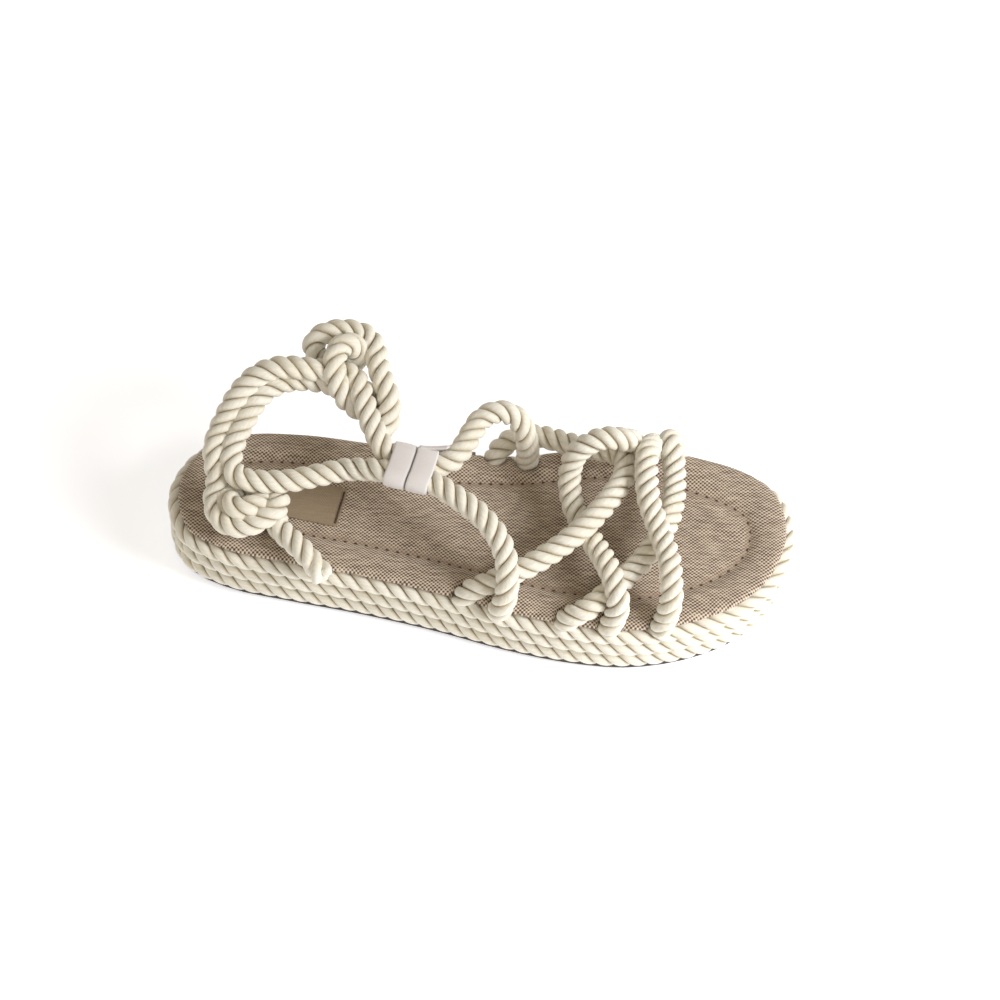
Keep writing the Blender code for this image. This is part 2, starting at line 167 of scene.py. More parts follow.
FLOOR_HALF = 4.0
FLOOR_DROP = 0.3
FLOOR_GLOW = 0.55
floor_mesh = bpy.data.meshes.new("floor")
floor_mesh.from_pydata(
    [(-FLOOR_HALF, -FLOOR_HALF, 0), (FLOOR_HALF, -FLOOR_HALF, 0),
     (FLOOR_HALF, FLOOR_HALF, 0), (-FLOOR_HALF, FLOOR_HALF, 0)], [], [(0, 1, 2, 3)],
)
floor = bpy.data.objects.new("floor", floor_mesh)
bpy.context.scene.collection.objects.link(floor)
floor.location.z = -FLOOR_DROP * MM
paper, paper_shader = new_finish("pale_paper", 0.9)
paper_shader.inputs["Base Color"].default_value = linear("#FCFCFC")
paper_shader.inputs["Emission Color"].default_value = linear("#F3F7FF")
paper_shader.inputs["Emission Strength"].default_value = FLOOR_GLOW
floor_mesh.materials.append(paper)
print("floor at", round(floor.location.z / MM, 2), "mm")

# %% [markdown]
# ## Curves through a few given points
# Every rope is a smooth curve through listed points. The centripetal Catmull-Rom curve
# passes through all of them without overshooting where they are close together, which
# matters in a tight knot. The curve is then cut into even steps. Two small functions measure
# along a path and find its points at given distances.

# %% Smooth curves
CURVE_STEPS = 24


def run_of(path):
    """How far along the path each of its points is."""
    return np.concatenate([[0.0], np.cumsum(np.linalg.norm(np.diff(path, axis=0), axis=1))])


def points_at(path, distances):
    """The points at those distances along the path, on straight lines between its own."""
    run = run_of(path)
    return np.column_stack([np.interp(distances, run, path[:, k]) for k in range(path.shape[1])])


def smooth_curve(points, step, closed=False):
    """Points about `step` apart on the centripetal Catmull-Rom curve through the given ones."""
    through = np.array(points, float)
    if closed:
        through = np.vstack([through[-1], through, through[:2]])
    else:
        through = np.vstack([2 * through[0] - through[1], through, 2 * through[-1] - through[-2]])
    apart = np.linalg.norm(np.diff(through, axis=0), axis=1) ** 0.5
    knots = np.concatenate([[0.0], np.cumsum(apart)])
    dense = []
    for i in range(1, len(through) - 2):
        p0, p1, p2, p3 = through[i - 1:i + 3]
        t0, t1, t2, t3 = knots[i - 1:i + 3]
        t = np.linspace(t1, t2, CURVE_STEPS, endpoint=False)[:, None]
        a1 = ((t1 - t) * p0 + (t - t0) * p1) / (t1 - t0)
        a2 = ((t2 - t) * p1 + (t - t1) * p2) / (t2 - t1)
        a3 = ((t3 - t) * p2 + (t - t2) * p3) / (t3 - t2)
        b1 = ((t2 - t) * a1 + (t - t0) * a2) / (t2 - t0)
        b2 = ((t3 - t) * a2 + (t - t1) * a3) / (t3 - t1)
        dense.append(((t2 - t) * b1 + (t - t1) * b2) / (t2 - t1))
    dense = np.vstack(dense + [through[-2][None]])
    length = run_of(dense)[-1]
    return points_at(dense, np.linspace(0.0, length, max(2, round(length / step)) + 1))


# %% [markdown]
# ## The section of a three strand rope
# A laid rope is three strands twisted round each other. Cut square across, each strand shows
# as an oval, because it runs at a slant. The section is the outline of three such ovals, a
# third of a turn apart. Turning that outline steadily as it moves along the rope gives the
# strands. A right handed turn gives the slant of a Z laid rope, as on the real sandal. The
# lay is the length of one whole turn. Handling twists a strap rope up, so the rope round the
# sole has the longest lay, the heel and instep ropes a shorter one and the loops in front the
# shortest.

# %% Rope section
ROPE_R = 4.3
FOXING_R = 4.2
FOXING_LAY = 20.4
HEEL_LAY = 17.6
LOOP_LAY = 14.8
INSTEP_LAY = 17.0
STRANDS = 3
ACROSS_STRAND = 16
STRAND_OUT = 0.53
STRAND_DEEP = 0.47
STRAND_WIDE = 0.59


def strand_section():
    """Angle and radius round the outline, as shares of the rope's radius.

    Each strand is an oval with its middle STRAND_OUT from the rope's. In the direction that
    is an angle f off the middle, the outline is the larger root of the oval's equation. The
    angles crowd together towards the grooves, where the outline turns sharply.
    """
    spread = np.linspace(-1, 1, ACROSS_STRAND, endpoint=False)
    off = math.radians(180 / STRANDS) * np.sin(spread * math.pi / 2)
    square = (np.cos(off) / STRAND_DEEP) ** 2 + (np.sin(off) / STRAND_WIDE) ** 2
    half = np.cos(off) * STRAND_OUT / STRAND_DEEP ** 2
    rest = (STRAND_OUT / STRAND_DEEP) ** 2 - 1
    radius = (half + np.sqrt(half ** 2 - square * rest)) / square
    angles = np.concatenate([off + math.radians(360 / STRANDS * k) for k in range(STRANDS)])
    return angles, np.tile(radius, STRANDS)


SECTION_ANGLES, SECTION_RADII = strand_section()
print("points round the rope:", len(SECTION_ANGLES))
print("groove depth, mm:", round((1 - SECTION_RADII.min()) * ROPE_R, 2))

# %% [markdown]
# ## Carrying a section along a path
# A frame of two directions is carried along the path without any twist of its own, by
# dropping from the last direction what points along the new piece of path. The section then
# turns in that frame only as the lay asks. Two attributes are kept for the material: where a
# point would be on the straightened rope, and how deep it lies in a groove.

# %% Sweep
# The middle point of each cut end takes half of the painted groove shade.
CUT_END_PAINTED_SHADE = 0.5


def carried_frame(path):
    """Unit vectors along and beside the path, with no twist between one point and the next."""
    along = np.gradient(path, axis=0)
    along /= np.linalg.norm(along, axis=1)[:, None]
    beside = np.empty_like(path)
    start = np.cross(along[0], (0.0, 0.0, 1.0) if abs(along[0][2]) < 0.9 else (1.0, 0.0, 0.0))
    beside[0] = start / np.linalg.norm(start)
    for i in range(1, len(path)):
        kept = beside[i - 1] - along[i] * (beside[i - 1] @ along[i])
        beside[i] = kept / np.linalg.norm(kept)
    return along, beside, np.cross(along, beside)


def grid_faces(rings, around):
    """Quads between neighbouring rings of points, each ring closed on itself."""
    ring, spoke = np.meshgrid(np.arange(rings - 1), np.arange(around), indexing="ij")
    low = ring * around + spoke
    low_next = ring * around + (spoke + 1) % around
    quads = np.stack([low, low_next, low_next + around, low + around], axis=-1)
    return quads.reshape(-1, 4).tolist()


def sweep(path, radii, angles, shares, turn_per_mm=0.0, turn=0.0):
    """A closed solid: the section at each point of the path, scaled by radii and turned.

    Each point lies reach times its angle's cosine beside the path and reach times the sine
    above it. The angle grows along the path.
    """
    _, beside, above_it = carried_frame(path)
    run = run_of(path)
    angle = angles[None, :] + (run * turn_per_mm + turn)[:, None]
    reach = shares[None, :] * radii[:, None]
    x, y = reach * np.cos(angle), reach * np.sin(angle)
    sideways = x[..., None] * beside[:, None, :]
    upwards = y[..., None] * above_it[:, None, :]
    points = path[:, None, :] + sideways + upwards
    laid = np.stack([x, y, np.broadcast_to(run[:, None], x.shape)], axis=-1)
    # The groove share also drives the painted shade in the rope's colour.
    groove = np.broadcast_to((1 - shares) / max(1 - shares.min(), 1e-6), x.shape)
    n = len(angles)
    first, last = len(path) * n, len(path) * n + 1
    faces = grid_faces(len(path), n)
    faces += [(first, (j + 1) % n, j) for j in range(n)]
    end = (len(path) - 1) * n
    faces += [(last, end + j, end + (j + 1) % n) for j in range(n)]
    return {
        "points": np.vstack([points.reshape(-1, 3), path[0], path[-1]]),
        "laid": np.vstack([laid.reshape(-1, 3), (0, 0, 0), (0, 0, run[-1])]),
        "groove": np.concatenate([groove.ravel(), [CUT_END_PAINTED_SHADE] * 2]),
        "faces": faces,
    }


def piece(name, parts, finish, slot, *replaced):
    """One mesh object from several solids. It rides on the sandal and may stand for CAD nodes."""
    points, faces = [], []
    for part in parts:
        start = sum(len(p) for p in points)
        points.append(part["points"])
        faces += [tuple(start + k for k in face) for face in part["faces"]]
    mesh = bpy.data.meshes.new(name)
    mesh.from_pydata((np.vstack(points) * MM).tolist(), [], faces)
    fields = (("laid", "FLOAT_VECTOR", "vector", MM), ("groove", "FLOAT", "value", 1.0))
    for key, kind, field, scale in fields:
        if key in parts[0]:
            values = np.concatenate([np.asarray(part[key], np.float32).ravel() for part in parts])
            values = (values * scale).astype(np.float32)
            mesh.attributes.new(key, kind, "POINT").data.foreach_set(field, values)
    mesh.shade_smooth()
    mesh.materials.append(finish)
    made = bpy.data.objects.new(name, mesh)
    bpy.context.scene.collection.objects.link(made)
    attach(made, "root")
    if replaced:
        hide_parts(*replaced)
    print(name, "has", len(mesh.vertices), "points and", len(mesh.polygons), "faces")
    return made


# %% [markdown]
# ## Cotton rope
# Undyed cotton is warm white and quite matt. Each strand is a bundle of fine yarns, which lie
# nearly straight along the rope, so the fine lines are drawn on the straightened rope: narrow
# across and long along it. Real yarns are half a millimetre wide. They are drawn at 0.9 mm,
# so that the picture can show them. Light that goes into a groove comes back warmer and darker,
# so the groove attribute paints the grooves a darker, warmer colour: painted shade.


# %% Cotton rope finish
YARN_MM = 0.9
YARN_RUN_MM = 16.0
BLOTCHES_PER_METRE = 70.0


def cotton_rope():
    """Warm white with painted shade in the grooves, aged in blotches and lined with fine yarns."""
    finish, shader = new_finish("laid_cotton_rope", 0.88, sheen=0.25)
    laid = add_node(finish, "ShaderNodeAttribute", attribute_name="laid").outputs["Vector"]
    groove = add_node(finish, "ShaderNodeAttribute", attribute_name="groove").outputs["Fac"]
    place = add_node(finish, "ShaderNodeTexCoord").outputs["Object"]
    straight = add_node(finish, "ShaderNodeMapping", {
        "Vector": laid,
        "Scale": (1 / (YARN_MM * MM), 1 / (YARN_MM * MM), 1 / (YARN_RUN_MM * MM)),
    }).outputs["Vector"]
    yarn = add_node(finish, "ShaderNodeTexNoise", {
        "Vector": straight, "Scale": 1.0, "Detail": 2.0, "Roughness": 0.6,
    }).outputs["Fac"]
    blotch = add_node(finish, "ShaderNodeTexNoise", {
        "Vector": place, "Scale": BLOTCHES_PER_METRE, "Detail": 2.0,
    }).outputs["Fac"]
    # Painted shade: the deeper a point lies in a groove, the more of the dark warm groove colour it takes.
    deep = add_node(finish, "ShaderNodeMath", {0: groove, 1: 1.8}, operation="POWER").outputs[0]
    body = add_node(finish, "ShaderNodeMix", {
        0: deep, 6: linear("#F9F6EC"), 7: linear("#927C4A"),
    }, data_type="RGBA").outputs[2]
    aged = add_node(finish, "ShaderNodeMapRange", {
        "Value": blotch, "From Min": 0.35, "From Max": 0.75, "To Max": 0.5,
    }).outputs["Result"]
    body = add_node(finish, "ShaderNodeMix", {
        0: aged, 6: body, 7: linear("#ECE4CE"),
    }, data_type="RGBA").outputs[2]
    shade = add_node(finish, "ShaderNodeMapRange", {
        "Value": yarn, "From Min": 0.3, "From Max": 0.7, "To Min": 0.80, "To Max": 1.04,
    }).outputs["Result"]
    tone = add_node(finish, "ShaderNodeCombineColor", {0: shade, 1: shade, 2: shade}).outputs[0]
    colour = add_node(finish, "ShaderNodeMix", {
        0: 0.6, 6: body, 7: tone,
    }, data_type="RGBA", blend_type="MULTIPLY").outputs[2]
    relief = add_node(finish, "ShaderNodeBump", {
        "Strength": 0.5, "Distance": 0.25 * MM, "Height": yarn,
    }).outputs["Normal"]
    return wear(finish, shader, colour, relief)


COTTON = cotton_rope()
print("finish", COTTON.name, "has", len(COTTON.node_tree.nodes), "nodes")

# %% [markdown]
# ## Where each rope goes
# The sandal's upper is six lengths of rope over the foot and two round the heel. These points
# are the same as those of the solids, with one more at the end of the lateral heel rope, which
# tucks its cut end in behind the other rope. Each route begins in the binding over the instep
# or at the edge of the footbed, and the ends that go down beside the footbed are squeezed
# thinner. Laid strands look fuller than a plain bar, so the upper's ropes are drawn 15 percent
# thicker than their solids.

# %% Routes
BAND_MIDDLE = np.array((-30.0, 3.8, 57.0))
BAND_LENGTH = 18.5
GAP = 0.3
INSIDE_BAND = (0.6 * GAP, 5.0, BAND_LENGTH / 2 + 1.0)
ROPE_SPACING = 2 * ROPE_R + GAP
ROPE_RUN = np.array((0.983, -0.186, 0.02))
ROPE_ASIDE = np.array((0.186, 0.983, 0.0))
ANCHORED_BOTH_ENDS = ("loop_1", "loop_2", "loop_3", "loop_4")
ANCHOR_TOP_Z = 31.5
ANCHOR_LOW_Z = 26.0
ANCHOR_END_R = 2.9
FOREFOOT = {
    "instep_lateral": (
        (-11, -8, 57), (-3, -13, 56.2), (4, -19.2, 55), (9, -25.5, 52.8), (12, -32.5, 49.4),
        (13, -38.7, 45.4), (12.8, -42.6, 39.8), (11.4, -44.3, 34), (9.5, -43.5, 29), (8.5, -42.5, 26),
    ),
    "instep_medial": (
        (-13.5, 9.5, 57.5), (-9.5, 15.5, 58.5), (-6.5, 22, 60), (-3, 28, 61.5), (3, 31.2, 62.7),
        (9.5, 31.6, 60.5), (13.8, 29.8, 55.5), (15.8, 28.2, 49.5), (16.8, 28.2, 42), (17, 29, 33.5),
        (17, 29.5, 26),
    ),
    "loop_1": (
        (-6, -38, 26), (-5, -38.5, 29), (-1, -37.5, 34), (5, -36, 37.8), (13, -33, 40.7), (22, -29, 44),
        (31, -23, 47), (39, -16, 49.5), (46, -8, 51.5), (52, 1, 52.5), (56.3, 10, 52.5), (57.5, 17.3, 51.8),
        (55.5, 23, 50.3), (50.5, 26, 48.4), (38, 29.2, 45.8), (28, 33, 43.5), (18, 35.8, 41.2),
        (10, 35, 38.3), (5.2, 32.3, 34), (3, 30, 30), (2, 28.5, 26),
    ),
    "loop_2": (
        (55, -45.5, 26), (55.5, -47.3, 31), (57, -46.3, 36), (58, -44, 41), (57.5, -41, 44.2),
        (55.8, -35.6, 45.9), (53, -29, 46.3), (49.5, -21.7, 45), (45.4, -14.4, 43.6), (41.4, -6.8, 43),
        (37.6, -0.2, 43.8), (35.3, 7.3, 46.5), (34.8, 13.6, 50.8), (36.5, 17.6, 56.5), (40.7, 20, 61),
        (46.3, 21.8, 63.5), (52, 22.6, 63.5), (56.5, 24, 60.8), (59, 27.5, 55.5), (59.6, 32.5, 46.5),
        (59.5, 36.3, 37.5), (58.8, 37.8, 31), (58, 37.5, 26),
    ),
    "loop_3": (
        (36.5, -44.5, 26), (37.6, -46, 30.5), (41, -45.5, 34.8), (46, -43.7, 37.8), (51, -39.3, 39.2),
        (56.3, -33.6, 39.3), (62, -26.6, 39.8), (66.2, -22, 41.3), (69.5, -17.4, 43.5), (72.3, -13, 45.4),
        (75, -7.6, 46.4), (77.2, -0.2, 47), (78, 7, 47.4), (77.9, 14.5, 48.5), (77.2, 21.5, 50.5),
        (75.8, 27.5, 52.3), (75, 32, 51), (76, 36, 45.5), (77.8, 38, 38), (78.3, 37.5, 31), (78, 36.5, 26),
    ),
    "loop_4": (
        (75.5, -44, 26), (76.5, -45.3, 31), (77.8, -43.8, 36), (78.6, -42.2, 41.5), (78.9, -39.6, 45),
        (78.4, -35.9, 48.2), (77.8, -31.2, 50.3), (76.9, -25.6, 51), (75, -20.1, 51.8), (72.6, -14.2, 52.7),
        (70.2, -8.8, 54.2), (67.8, -3.4, 56), (66.2, 2.9, 58), (65.4, 10.5, 59.5), (65.4, 18.4, 59.3),
        (67, 26, 55), (68.4, 32, 47.5), (69, 36.5, 39.5), (69.2, 38.3, 32), (68.5, 38, 26),
    ),
}
HEEL = {
    "lateral_rope": (
        (-47.5, 3, 54.5), (-57, 3.8, 51.5), (-67, 1, 50.5), (-78.5, -2.7, 50), (-86.5, -4.3, 50.3),
        (-94, -4.9, 50.8), (-99.3, -4, 51.2), (-102.5, -1, 52.2), (-103.5, 3.2, 53.5), (-103.3, 8, 54.8),
        (-102, 13.5, 56.3), (-99.3, 20.3, 59), (-95.8, 27.3, 61.3), (-91, 33, 63), (-84, 36.8, 64),
        (-77, 38, 64.3), (-70, 38.5, 63), (-62.5, 39, 60), (-55, 39, 58.5), (-48.8, 37, 58),
        (-46.3, 32.8, 57.5), (-48.8, 29.4, 57), (-54.5, 30, 58.5), (-60, 31.8, 63), (-63.2, 34.8, 68),
        (-64.8, 38.6, 72), (-65, 43.5, 74.5), (-63.3, 47.8, 75.5), (-60, 50.4, 74.8), (-57, 51, 70.8),
        (-56.8, 50.4, 65.5), (-60.5, 49.5, 61.8), (-66.5, 49, 61.5), (-72, 49.5, 64), (-75, 51, 68),
        (-74, 54, 71), (-70.5, 56.2, 72.3), (-66, 58.2, 72.3), (-59.5, 59.2, 71.6), (-53.5, 57.8, 70.7),
        (-49.5, 52.8, 70), (-47.8, 46, 69), (-45, 38.8, 67.5), (-41.9, 32.3, 64.8), (-41.2, 27.3, 61),
        (-42, 23.5, 57.2), (-44.8, 20.8, 54.4),
    ),
    "medial_rope": (
        (-41.5, 11.3, 57.8), (-45.2, 16.2, 60), (-48.9, 22.8, 62.5), (-52, 29.5, 65.2), (-54.3, 35.5, 66.6),
        (-57.5, 40.2, 66.4), (-62, 41.5, 66.4), (-67.5, 40.5, 68.2), (-73.5, 38.9, 70.6), (-80, 38.3, 71.8),
        (-88.5, 37.3, 71.7), (-96, 34.2, 69.7), (-102.2, 28.2, 65.8), (-106.8, 20.8, 60.3),
        (-109.8, 13.3, 56), (-110.8, 7.5, 54.3), (-110.3, 3, 52.2), (-109.3, -0.5, 50), (-108.6, -3.8, 47),
        (-109, -7.2, 44.2), (-109, -11, 42.5), (-107.5, -15.4, 41.5), (-104.3, -19.2, 41),
        (-99.2, -21, 41), (-93, -20.2, 42), (-87.2, -17, 43.8), (-83.3, -12.9, 44.2), (-83.2, -8.2, 43),
        (-86.8, -4.4, 41), (-92.8, -2.8, 39.5), (-99.2, -4, 39.8), (-102.8, -7.6, 42), (-103, -11.8, 44.6),
        (-100.5, -15.1, 46), (-96.6, -15.8, 46.3), (-92.3, -13.4, 45.5), (-89, -10, 42.8),
        (-86.5, -8.8, 39.3), (-84.3, -10.8, 37), (-83.2, -14.5, 36.8), (-81.6, -18.2, 37.4),
        (-78.6, -21.4, 38), (-75, -24.6, 38.3), (-69.8, -29.3, 38), (-64.4, -34.5, 36),
    ),
}
ROPE_STEP = 0.8
FULLNESS = 1.15


def from_binding(side, sense, route):
    """A rope's route with its first points inside the binding, beside its middle."""
    middle = BAND_MIDDLE + side * ROPE_SPACING / 2 * ROPE_ASIDE
    start = [middle + sense * reach * ROPE_RUN for reach in INSIDE_BAND]
    return smooth_curve([tuple(p) for p in start] + list(route), ROPE_STEP)


def squeezed_radii(path, both_ends):
    """Full radius along the rope, thinner where an end goes down beside the footbed."""
    share = np.clip((path[:, 2] - ANCHOR_LOW_Z) / (ANCHOR_TOP_Z - ANCHOR_LOW_Z), 0, 1)
    radii = ANCHOR_END_R + (ROPE_R - ANCHOR_END_R) * share
    if not both_ends:
        radii[:len(radii) // 2] = ROPE_R
    return radii * FULLNESS


paths = {}
for name, route in FOREFOOT.items():
    side = {"instep_lateral": -1, "instep_medial": 1}.get(name)
    paths[name] = smooth_curve(route, ROPE_STEP) if side is None else from_binding(side, 1, route)
for name, route in HEEL.items():
    paths[name] = from_binding(-1 if name == "lateral_rope" else 1, -1, route)
print("rope lengths, mm:", {name: round(run_of(path)[-1]) for name, path in paths.items()})

# %% [markdown]
# ## The ropes over the foot and round the heel
# Each rope is the section swept along its route. Where two ropes cross they press into each
# other, so they share one mesh object for the upper in front and one for the heel. The free
# end beside the lower knot is cut, and its three strands have opened a little, so three
# short bars grow out of the rope there, each on its own strand.

# %% Upper ropes
LOOP_TURN = 0.7
FRONT_LOOPS = ("loop_2", "loop_3", "loop_4")


def rope(path, radii, lay, turn=0.0):
    """The three strand section swept along the path, one whole turn for each lay."""
    return sweep(path, radii, SECTION_ANGLES, SECTION_RADII, 2 * math.pi / lay, turn)


forefoot_parts = [
    rope(
        paths[name], squeezed_radii(paths[name], name in ANCHORED_BOTH_ENDS),
        LOOP_LAY if name in FRONT_LOOPS else INSTEP_LAY, LOOP_TURN * k,
    )
    for k, name in enumerate(FOREFOOT)
]
piece("forefoot_rope_loops", forefoot_parts, COTTON, "cotton_rope", "forefoot_ropes")

STRAND_END_R = 2.25
STRAND_END_LENGTH = 12.0
STRAND_END_BACK = 7.5
STRAND_END_OUT = 2.3
STRAND_END_SPREAD = 0.9
STRAND_END_ROUNDING = 0.7
STRAND_END_FLAT = 0.15
# The opened strands take a faint, even share of the painted groove shade.
STRAND_END_PAINTED_SHADE = 0.12
STRAND_END_RINGS = 24
STRAND_END_AROUND = 20


def opened_strands(path, turn):
    """Three short bars at the end of a rope, each following its strand and leaning outwards.

    A bar's middle turns with the lay, and its distance from the rope's middle grows with the
    reach to the power 1.5. Its tip is rounded as a quarter circle is.
    """
    along, beside, above_it = carried_frame(path)
    run = run_of(path)
    start = int(np.searchsorted(run, run[-1] - STRAND_END_BACK))
    reach = np.linspace(0.0, STRAND_END_LENGTH, STRAND_END_RINGS)
    out = STRAND_END_OUT + STRAND_END_SPREAD * (reach / STRAND_END_LENGTH) ** 1.5
    centre = path[start] + reach[:, None] * along[-1]
    tip = np.clip((STRAND_END_LENGTH - reach) / STRAND_END_ROUNDING, 0.0, 1.0)
    radii = STRAND_END_R * np.sqrt(np.clip(1 - (1 - tip) ** 2, STRAND_END_FLAT, 1))
    around = np.linspace(0, 2 * math.pi, STRAND_END_AROUND, endpoint=False)
    bars = []
    for k in range(STRANDS):
        strand = math.radians(360 / STRANDS * k)
        angle = 2 * math.pi * (run[start] + reach) / HEEL_LAY + turn + strand
        sideways = (out * np.cos(angle))[:, None] * beside[-1]
        upwards = (out * np.sin(angle))[:, None] * above_it[-1]
        made = sweep(centre + sideways + upwards, radii, around, np.ones(STRAND_END_AROUND))
        made["laid"] = made["points"] - path[start]
        made["groove"] = np.full(len(made["points"]), STRAND_END_PAINTED_SHADE)
        bars.append(made)
    return bars


MEDIAL_TURN = 2.15
MEDIAL_TAPER = np.array((0.95, 0.88, 0.78, 0.62, 0.40))
heel_parts = []
for k, name in enumerate(HEEL):
    full = np.full(len(paths[name]), ROPE_R * FULLNESS)
    if name == "medial_rope":
        full[-len(MEDIAL_TAPER):] = ROPE_R * FULLNESS * MEDIAL_TAPER
    heel_parts.append(rope(paths[name], full, HEEL_LAY, MEDIAL_TURN * k))
heel_parts += opened_strands(paths["medial_rope"], MEDIAL_TURN)
piece("heel_rope_sling", heel_parts, COTTON, "cotton_rope", "heel_sling")

# %% [markdown]
# ## The edge of the sole
# Seen from above, the sole is one closed curve through a table of half widths. The same
# curve, moved inwards, carries the rope rows, the footbed and its line of stitches. Towards
# the toe everything rises a little.

# %% Sole edge
LENGTH = 262.0
SPRING = 4.0
SPRING_START = 0.72
EDGE_POINTS = 576
EDGE_STEP = 0.5
OUTLINE = (
    # share of the length, lateral half width, medial half width
    (0.03, 20.0, 22.0), (0.10, 29.0, 33.0), (0.20, 33.0, 36.0), (0.32, 36.5, 34.5),
    (0.44, 41.5, 33.0), (0.55, 47.5, 35.0), (0.65, 51.0, 40.5), (0.75, 51.0, 44.0),
    (0.85, 44.5, 40.5), (0.93, 33.0, 33.5), (0.98, 17.0, 22.5),
)
HEEL_Y = 1.0
TOE_Y = 3.5


def sole_edge(count):
    """Points round the sole from the heel, along the lateral side to the toe, and back."""
    lateral = [((share - 0.5) * LENGTH, -out) for share, out, _ in OUTLINE]
    medial = [((share - 0.5) * LENGTH, out) for share, _, out in OUTLINE]
    loop = [(-LENGTH / 2, HEEL_Y)] + lateral + [(LENGTH / 2, TOE_Y)] + medial[::-1]
    edge = smooth_curve(loop, EDGE_STEP, closed=True)[:-1]
    half = int(edge[:, 0].argmax())
    sides = []
    for side in (edge[:half + 1], np.vstack([edge[half:], edge[:1]])):
        at = np.linspace(0.0, run_of(side)[-1], count // 2 + 1)[:-1]
        sides.append(points_at(side, at))
    return np.vstack(sides)


def outward(loop):
    """The direction out of the loop at each point: across the line between its neighbours."""
    along = np.roll(loop, -1, axis=0) - np.roll(loop, 1, axis=0)
    along /= np.linalg.norm(along, axis=1)[:, None]
    return np.column_stack([along[:, 1], -along[:, 0]])


def spring(x):
    """The toe's rise at x: none as far as SPRING_START, then growing with the square."""
    share = np.clip((np.asarray(x) / LENGTH + 0.5 - SPRING_START) / (1 - SPRING_START), 0, 1)
    return SPRING * share ** 2


EDGE = sole_edge(EDGE_POINTS)
EDGE_OUT = outward(EDGE)


def ring(inset, z):
    """The sole's edge moved in by `inset`, at height z plus the toe's rise."""
    flat = EDGE - EDGE_OUT * inset
    return np.column_stack([flat, z + spring(flat[:, 0])])


print("edge length, mm:", round(run_of(np.vstack([EDGE, EDGE[:1]]))[-1]))

# %% [markdown]
# ## Three rows of rope round the sole
# The side of the sole is three turns of the same rope, stacked. Each row starts and ends at
# the waist on the inner side, where the two cut ends meet under a piece of tape. A row starts
# its twist a little later than the one below, so that the slants do not line up by accident.

# %% Rope rows
FIRST_ROW_Z = 7.5
ROW_PITCH = 2 * FOXING_R + GAP
JOINT_X = -14.0
ROW_TURNS = (0.0, 1.3, 2.9)

for row, turn in enumerate(ROW_TURNS):
    loop = ring(FOXING_R, FIRST_ROW_Z + row * ROW_PITCH)
    medial = np.arange(EDGE_POINTS) > EDGE_POINTS // 2
    joint = int(np.where(medial, np.abs(loop[:, 0] - JOINT_X), np.inf).argmin())
    loop = np.roll(loop, -joint, axis=0)
    ahead_of_joint = (loop[1] - loop[0]) / np.linalg.norm(loop[1] - loop[0])
    ends = loop[0] + ahead_of_joint * GAP / 2, loop[0] - ahead_of_joint * GAP / 2
    row_path = smooth_curve(np.vstack([ends[0], loop[1:], ends[1]]), ROPE_STEP)
    row_radii = np.full(len(row_path), FOXING_R)
    row_parts = [rope(row_path, row_radii, FOXING_LAY, turn)]
    piece(f"sole_rope_row_{row + 1}", row_parts, COTTON, "cotton_rope", f"foxing_rope_{row + 1}")

# %% [markdown]
# ## The padded footbed
# Linen is drawn over a foam pad and turned down at the edge, so the rim is round and full,
# and a sewn line inside the rim pulls the pad down into a shallow channel. The pad is a
# surface of two parameters: the distance along the edge, and a profile from the underside
# over the rim to the middle. The middle is closed by straight lines from side to side. The
# rim lies further in at the heel and the toe than along the sides, and the sewn line further
# in round the toe. Where a rope end goes down, the pad is pressed in.

# %% Footbed surface
SEAM_INSET = 17.5
SEAM_Z = 31.05
MIDDLE_INSET = 20.0
PAD_SECTION = (
    # inset, z
    (9.1, 22.3), (8.8, 25.4), (7.5, 28.4), (5.5, 29.4), (3.7, 29.9), (3.1, 31.0), (4.4, 32.3),
    (8.7, 33.0), (13.5, 32.7), (16.4, 31.5), (SEAM_INSET, SEAM_Z), (18.6, 31.4),
    (MIDDLE_INSET, 31.6),
)
PAD_STEP = 0.55
PAD_LINES = 60
PAD_RISE = 0.25
FOOT_R = 4.7
FOOT_Z = 31.0
NO_NOTCH = -1e3
NOTCH_SLOPE = 2.5
DIMPLE_DEPTH = 1.6
DIMPLE_WIDTH = 1.3
DIMPLE_FROM_Z = 30.0
SEAM_SHIFT_FROM = 9.0
RIM_SHIFT_FROM = 4.0
RIM_SHIFT_OVER = 10.0
RIM_SHIFT_MOST = 1.7
TOE_FROM = 55.0
TOE_OVER = 55.0


def middle_grid(edge_ring, rise):
    """Straight lines from the lateral to the medial side of a ring, raised a little between."""
    half = EDGE_POINTS // 2
    lateral = edge_ring[1:half]
    medial = edge_ring[EDGE_POINTS - 1:half:-1]
    share = np.linspace(0, 1, PAD_LINES + 2)[1:-1]
    share_out = share[None, :, None]
    points = lateral[:, None] * (1 - share_out) + medial[:, None] * share_out
    points[..., 2] += rise * np.sin(share * math.pi)[None, :] ** 0.5
    return points


def middle_faces(ring_start, grid_start, upwards):
    """Faces of that grid, joined to the ring's own points at both sides and both ends."""
    half = EDGE_POINTS // 2
    rows = half - 1
    table = np.empty((rows, PAD_LINES + 2), int)
    table[:, 1:-1] = grid_start + np.arange(rows * PAD_LINES).reshape(rows, PAD_LINES)
    table[:, 0] = ring_start + np.arange(1, half)
    table[:, -1] = ring_start + np.arange(EDGE_POINTS - 1, half, -1)
    quads = np.stack([table[:-1, :-1], table[1:, :-1], table[1:, 1:], table[:-1, 1:]], axis=-1)
    faces = quads.reshape(-1, 4).tolist()
    heel = ring_start
    toe = ring_start + half
    faces += [(heel, int(table[0, k]), int(table[0, k + 1])) for k in range(PAD_LINES + 1)]
    faces += [(toe, int(table[-1, k + 1]), int(table[-1, k])) for k in range(PAD_LINES + 1)]
    return faces if upwards else [face[::-1] for face in faces]


